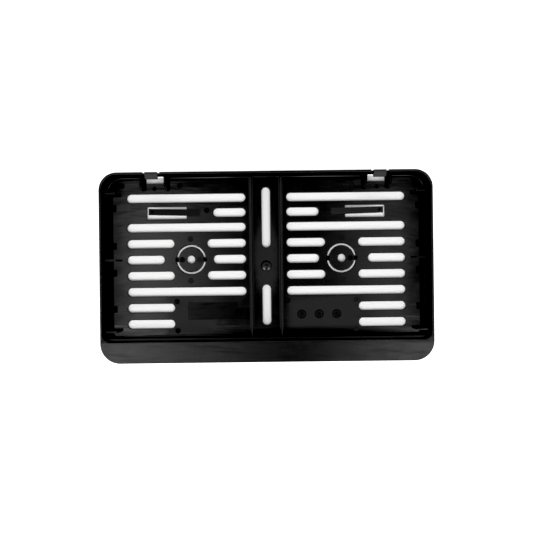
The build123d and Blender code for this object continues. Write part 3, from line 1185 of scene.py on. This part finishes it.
@dataclass
class StudioLight:
    """Dim reflectors beside the camera, two soft boxes low in front and pale walls, under a dark ceiling."""

    effects: Effects
    ceiling: float = 0.045
    walls: float = 0.4
    wall_rise: Numbers = (0.68, 0.92)
    backdrop: float = 1.0
    tint: Numbers = (1.0, 0.997, 0.99, 1.0)
    lowest: float = 0.02

    def panels(self) -> list[Reflector]:
        """The upper and the lower reflectors.

        Returns:
            The reflectors, left ones first.
        """
        upper = {"top": (0.05, 0.29), "bottom": (-0.055, -0.11), "rise": 0.5, "dip": 0.25}
        left = {"inner": (0.02, 0.36), "outer": (0.295, 0.36), "slant": (0.074, 0.1), "spill": 0.1}
        right = {"inner": (0.11, 0.33), "outer": (0.302, 0.345), "slant": (0.045, 0.074)}
        return [
            Reflector(side=-1.0, strength=1.6, **left, **upper),
            Reflector(side=1.0, strength=0.9, **right, **upper),
            Reflector(side=-1.0, strength=2.05, inner=(-0.1, 0.42)),
            Reflector(side=1.0, strength=2.0, inner=(0.04, 0.4)),
        ]

    def boxes(self) -> list[SoftBox]:
        """The two soft boxes, low in front."""
        left = SoftBox("soft_box", PatchShape.OVAL, (-0.74, -0.68, 0.0), (0.48, 0.36, 1.0), 0.6, 4.6)
        return [left, replace(left, centre=(0.74, -0.68, 0.0))]

    def build(self) -> bpy.types.World:
        """Builds the light as the scene's world.

        Returns:
            The world.
        """
        world = bpy.data.worlds.new("studio_light")
        world.use_nodes = True
        bench = Bench(world.node_tree)
        way = bench.parts(bench.node("TexCoord", {}).outputs["Generated"])
        height = bench.sum("MAXIMUM", way["Z"], self.lowest)
        across, along = (bench.sum("DIVIDE", way[axis], height) for axis in "XY")
        slopes = bench.node("CombineXYZ", {"X": across, "Y": along}).outputs["Vector"]
        light: Wire = bench.ramp(way["Z"], *self.wall_rise, self.walls, self.ceiling)
        for box in self.boxes():
            light = bench.sum("MULTIPLY_ADD", box.mask(bench, self.effects, slopes), box.strength, light)
        for panel in self.panels():
            light = bench.sum("MULTIPLY_ADD", panel.lit(bench, across, along), panel.strength, light)
        seen = bench.node("LightPath", {}).outputs["Is Camera Ray"]
        background = world.node_tree.nodes["Background"]
        bench.feed(background.inputs["Strength"], bench.blend(seen, light, self.backdrop))
        background.inputs["Color"].default_value = self.tint
        bpy.context.scene.world = world
        return world


@dataclass
class PaleFloor:
    """The white light table under the holder: bright all round it, dimmer where the holder covers it."""

    room: PlateRoom
    effects: Effects
    reach: float = 3.0
    gap: float = 0.05 * MM
    shade: float = 0.78
    paler: float = 1.03
    glow: float = 1.0
    lamp_slopes: Numbers = (0.6, -1.0)
    lamp_energy: float = 0.95
    lamp_angle: float = math.radians(50.0)

    def spots(self) -> list[DimSpot]:
        """Where the holder shades the floor, later spots on top.

        Returns:
            The spots.
        """
        box = PatchShape.BOX
        made = [
            DimSpot("under_tray", box, mm(0, 3.2, 0), mm(146, 83, FAR), 2 * MM, 0.19),
            DimSpot("under_lowest_slots", box, mm(0, -54.6, 0), mm(140, 5, FAR), 2 * MM, 0.34),
            DimSpot("under_channel", box, mm(0, 10, 0), mm(8, 75, FAR), 3 * MM, 0.07),
        ]
        for side, hole_glow in zip(SIDES, (0.03, 0.08)):
            hole = (side * self.room.hole_x, self.room.hole_line, 0.0)
            made.append(DimSpot("under_screw_hole", box, hole, mm(5, 5, FAR), MM, hole_glow))
            made.append(DimSpot("under_hook", box, mm(side * 104, 81, 0), mm(16, 5.5, FAR), MM, 0.05))
        return made

    def material(self) -> bpy.types.Material:
        """Builds the light table's material.

        Returns:
            The material.
        """
        made = bpy.data.materials.new("white_light_table")
        made.use_nodes = True
        bench = Bench(made.node_tree)
        shader = bench.tree.nodes["Principled BSDF"]
        place = bench.node("TexCoord", {}).outputs["Object"]
        pale, paler = ((shade, shade, shade, 1.0) for shade in (self.shade, self.paler * self.shade))
        speckle = bench.noise(place, scale=900.0, detail=3.0)
        bench.feed(shader.inputs["Base Color"], bench.blend(speckle, pale, paler, MixKind.RGBA))
        glow: Wire = self.glow
        for spot in self.spots():
            glow = bench.blend(spot.mask(bench, self.effects, place), glow, spot.glow)
        bench.feed(shader.inputs["Emission Strength"], glow)
        shader.inputs["Emission Color"].default_value = (1.0, 1.0, 1.0, 1.0)
        shader.inputs["Roughness"].default_value = 0.9
        shader.inputs["Specular IOR Level"].default_value = 0.1
        return made

    def light(self, floor: Piece) -> None:
        """Hangs two soft lamps low in front that light only the floor, so that the slots' edges shade it.

        Args:
            floor: The floor.
        """
        lit = bpy.data.collections.new("lit_floor")
        lit.objects.link(floor)
        across, along = self.lamp_slopes
        for side, name in zip(SIDES, ("floor_lamp_right", "floor_lamp_left")):
            turn = Vector((side * across, along, 1.0)).to_track_quat("Z", "Y").to_euler()
            lamp = started(name, bpy.ops.object.light_add, type="SUN", rotation=turn)
            lamp.data.energy = self.lamp_energy
            lamp.data.angle = self.lamp_angle
            lamp.light_linking.receiver_collection = lit

    def build(self) -> Piece:
        """Builds the floor just under the holder's back.

        Returns:
            The floor.
        """
        plane = bpy.ops.mesh.primitive_plane_add
        floor = started("pale_floor", plane, size=2 * self.reach, location=(0.0, 0.0, -self.gap))
        settle(floor)
        floor.data.materials.append(self.material())
        self.light(floor)
        return floor


@dataclass
class StudioCamera:
    """The camera, straight over the holder, turned by the little that the picture is."""

    place: Numbers = mm(-0.014, -0.093, 420.26)
    turn: float = -0.0118
    focal_pixels: float = 433.48
    frame_pixels: float = 533.0
    sensor: float = 36.0
    reach: Numbers = (0.01, 20.0)

    def build(self) -> Piece:
        """Builds the camera and makes it the scene's own.

        Returns:
            The camera.
        """
        turned = {"location": self.place, "rotation": (0.0, 0.0, self.turn)}
        camera = started("studio_camera", bpy.ops.object.camera_add, **turned)
        camera.data.sensor_width = self.sensor
        camera.data.lens = self.sensor * self.focal_pixels / self.frame_pixels
        camera.data.clip_start, camera.data.clip_end = self.reach
        bpy.context.scene.camera = camera
        return camera


def set_picture() -> None:
    """Shows light as it is, with a firm black as in a printed picture."""
    firm_black = 0.0035
    view = bpy.context.scene.view_settings
    view.view_transform = "Standard"
    view.look = "None"
    view.use_curve_mapping = True
    view.curve_mapping.black_level = [firm_black] * 3
    view.curve_mapping.update()


def main() -> None:
    """Builds the moulding, then the floor, the light and the camera."""
    logging.basicConfig(level=logging.INFO, format="%(name)s: %(message)s")
    effects, room = Effects(), PlateRoom()
    tray = TrayMoulding(room).build(effects)
    LOG.info("%s has %d faces", tray.name, len(tray.data.polygons))
    for piece in (PaleFloor(room, effects), StudioLight(effects), StudioCamera()):
        LOG.info("built %s", piece.build().name)
    set_picture()


if __name__ == "__main__":
    main()
